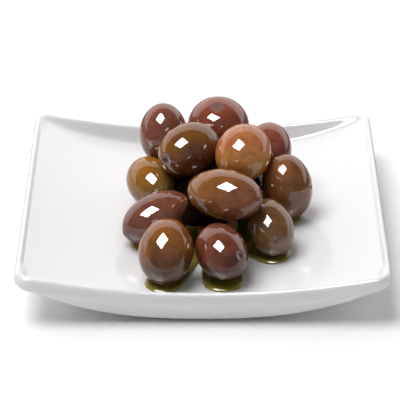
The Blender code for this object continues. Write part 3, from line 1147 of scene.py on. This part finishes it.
def floor_finish(settings):
    """Plain white studio paper, faintly uneven; in reflections it is painted as dim as the room around
    it.
    """
    finish = Finish("studio_floor")
    colour = tuple(settings.floor_colour)
    deeper = tuple(0.995 * part for part in colour)
    paper = finish.mix(finish.mottling(5.0), colour, deeper)
    # Painted reflection: glossy rays see the paper at a fraction of its colour
    path = finish.nodes.new("ShaderNodeLightPath")
    painted_reflection = tuple(FLOOR_PAINTED_REFLECTION * part for part in colour)
    paper = finish.mix(path.outputs["Is Glossy Ray"], paper, painted_reflection)
    finish.link(paper, finish.shader.inputs["Base Color"])
    finish.set(Roughness=0.9, Specular_IOR_Level=0.1)
    return finish.material


def build_floor(material):
    bm = bmesh.new()
    bmesh.ops.create_grid(bm, x_segments=2, y_segments=2, size=FLOOR_HALF_SIDE)
    mesh = bpy.data.meshes.new("studio_floor")
    bm.to_mesh(mesh)
    bm.free()
    mesh.materials.append(material)
    floor = bpy.data.objects.new("studio_floor", mesh)
    floor.location.z = -FLOOR_DROP
    bpy.context.scene.collection.objects.link(floor)


def build_room(settings):
    """A white backdrop low down behind the dish, a dimmer room, and white where the camera looks past."""
    world = bpy.data.worlds.new("studio")
    bpy.context.scene.world = world
    world.use_nodes = True
    nodes = world.node_tree.nodes
    link = world.node_tree.links.new
    nodes.clear()
    direction = nodes.new("ShaderNodeTexCoord").outputs["Generated"]
    parts = nodes.new("ShaderNodeSeparateXYZ")
    link(direction, parts.inputs["Vector"])

    def step(value, low, high):
        node = nodes.new("ShaderNodeMapRange")
        node.interpolation_type = "SMOOTHSTEP"
        node.inputs["From Min"].default_value = low
        node.inputs["From Max"].default_value = high
        link(value, node.inputs["Value"])
        return node.outputs["Result"]

    def combine(operation, first, second):
        node = nodes.new("ShaderNodeMath")
        node.operation = operation
        for socket, value in zip(node.inputs, (first, second)):
            if isinstance(value, bpy.types.NodeSocket):
                link(value, socket)
            else:
                socket.default_value = value
        return node.outputs["Value"]

    behind = step(parts.outputs["Y"], 0.0, BACKDROP_SIDE_BLUR)
    slope = combine("MULTIPLY", parts.outputs["Y"], BACKDROP_SLOPE)
    low = step(combine("SUBTRACT", slope, parts.outputs["Z"]), 0.0, BACKDROP_TOP_BLUR)
    backdrop = combine("MULTIPLY", combine("MULTIPLY", behind, low), settings.backdrop_strength)
    before = step(combine("MULTIPLY", parts.outputs["Y"], -1.0), *FRONT_RANGE)
    fill = combine("MULTIPLY", before, settings.front_strength)
    strength = combine("ADD", combine("ADD", backdrop, fill), settings.room_strength)
    room = nodes.new("ShaderNodeBackground")
    room.inputs["Color"].default_value = (1.0, 1.0, 1.0, 1.0)
    link(strength, room.inputs["Strength"])
    seen = nodes.new("ShaderNodeBackground")
    seen.inputs["Color"].default_value = (1.0, 1.0, 1.0, 1.0)
    seen.inputs["Strength"].default_value = 1.0
    path = nodes.new("ShaderNodeLightPath")
    mix = nodes.new("ShaderNodeMixShader")
    output = nodes.new("ShaderNodeOutputWorld")
    link(path.outputs["Is Camera Ray"], mix.inputs["Fac"])
    link(room.outputs["Background"], mix.inputs[1])
    link(seen.outputs["Background"], mix.inputs[2])
    link(mix.outputs["Shader"], output.inputs["Surface"])


def build_softbox(name, power, size, direction, distance):
    """A square light that faces the dish."""
    light = bpy.data.lights.new(name, "AREA")
    light.shape = "SQUARE"
    light.size = size
    light.energy = power
    light.color = SOFTBOX_COLOUR
    softbox = bpy.data.objects.new(name, light)
    direction = direction.normalized()
    aim = direction.to_track_quat("Z", "Y").to_matrix().to_4x4()
    softbox.matrix_world = Matrix.Translation(AIM + direction * distance) @ aim
    softbox.matrix_world = softbox.matrix_world @ Matrix.Rotation(KEY_TWIST, 4, "Z")
    bpy.context.scene.collection.objects.link(softbox)
    return softbox


def build_lights(settings):
    """One softbox for the light that falls on things, and one that only shows in their gloss."""
    glow = build_softbox(
        "softbox_glow", settings.key_power, settings.key_size, GLOW_DIRECTION, GLOW_DISTANCE
    )
    glow.visible_glossy = False
    shine = build_softbox(
        "softbox_shine", settings.key_shine, settings.shine_size, SHINE_DIRECTION, SHINE_DISTANCE
    )
    shine.visible_diffuse = False


def build_camera():
    camera = bpy.data.cameras.new("camera")
    camera.lens = LENS
    camera.sensor_width = 36.0
    camera.clip_start = 0.05
    camera.clip_end = 50.0
    holder = bpy.data.objects.new("camera", camera)
    sight = Vector(SIGHT)
    holder.location = AIM - sight * CAMERA_DISTANCE
    holder.rotation_euler = sight.to_track_quat("-Z", "Y").to_euler()
    bpy.context.scene.collection.objects.link(holder)
    bpy.context.scene.camera = holder


class OLIVES_OT_dish(bpy.types.Operator):
    """Build the porcelain dish"""

    bl_idname = "olives.dish"
    bl_label = "Porcelain dish"

    def execute(self, context):
        build_dish(porcelain_finish(context.scene.olive_dish))
        return {"FINISHED"}


class OLIVES_OT_heap(bpy.types.Operator):
    """Settle and build the olives and the dark core between them"""

    bl_idname = "olives.heap"
    bl_label = "Heap of olives"

    def execute(self, context):
        olives = read_olives()
        build_olives(olives, context.scene.olive_heap, olive_finish())
        build_core(olives, core_finish())
        return {"FINISHED"}


class OLIVES_OT_oil(bpy.types.Operator):
    """Pour the pool of oil that the lowest olives stand in"""

    bl_idname = "olives.oil"
    bl_label = "Oil pool"

    def execute(self, context):
        settings = context.scene.olive_oil
        build_oil(read_olives(), settings, oil_finish(settings))
        return {"FINISHED"}


class OLIVES_OT_stage(bpy.types.Operator):
    """Set up the floor, the room, the softboxes and the camera"""

    bl_idname = "olives.stage"
    bl_label = "Studio"

    def execute(self, context):
        settings = context.scene.olive_stage
        build_floor(floor_finish(settings))
        build_room(settings)
        build_lights(settings)
        build_camera()
        context.scene.view_settings.view_transform = "Standard"
        context.scene.view_settings.look = "None"
        return {"FINISHED"}


class OLIVES_PT_panel(bpy.types.Panel):
    """The steps, with the settings that each one reads"""

    bl_idname = "OLIVES_PT_panel"
    bl_label = "Dish of olives"
    bl_space_type = "VIEW_3D"
    bl_region_type = "UI"
    bl_category = "Olives"

    def draw(self, context):
        scene = context.scene
        steps = (
            ("olives.dish", scene.olive_dish),
            ("olives.heap", scene.olive_heap),
            ("olives.oil", scene.olive_oil),
            ("olives.stage", scene.olive_stage),
        )
        for operator, settings in steps:
            box = self.layout.box()
            box.operator(operator)
            for label in type(settings).__annotations__:
                box.prop(settings, label)


CLASSES = (
    DishSettings,
    OliveSettings,
    OilSettings,
    StageSettings,
    OLIVES_OT_dish,
    OLIVES_OT_heap,
    OLIVES_OT_oil,
    OLIVES_OT_stage,
    OLIVES_PT_panel,
)
SETTINGS = {
    "olive_dish": DishSettings,
    "olive_heap": OliveSettings,
    "olive_oil": OilSettings,
    "olive_stage": StageSettings,
}


def register():
    for made in CLASSES:
        bpy.utils.register_class(made)
    for name, group in SETTINGS.items():
        setattr(bpy.types.Scene, name, PointerProperty(type=group))


def unregister():
    for name in SETTINGS:
        delattr(bpy.types.Scene, name)
    for made in reversed(CLASSES):
        bpy.utils.unregister_class(made)


def main():
    register()
    bpy.ops.olives.dish()
    bpy.ops.olives.heap()
    bpy.ops.olives.oil()
    bpy.ops.olives.stage()
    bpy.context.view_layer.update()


if __name__ == "__main__":
    main()
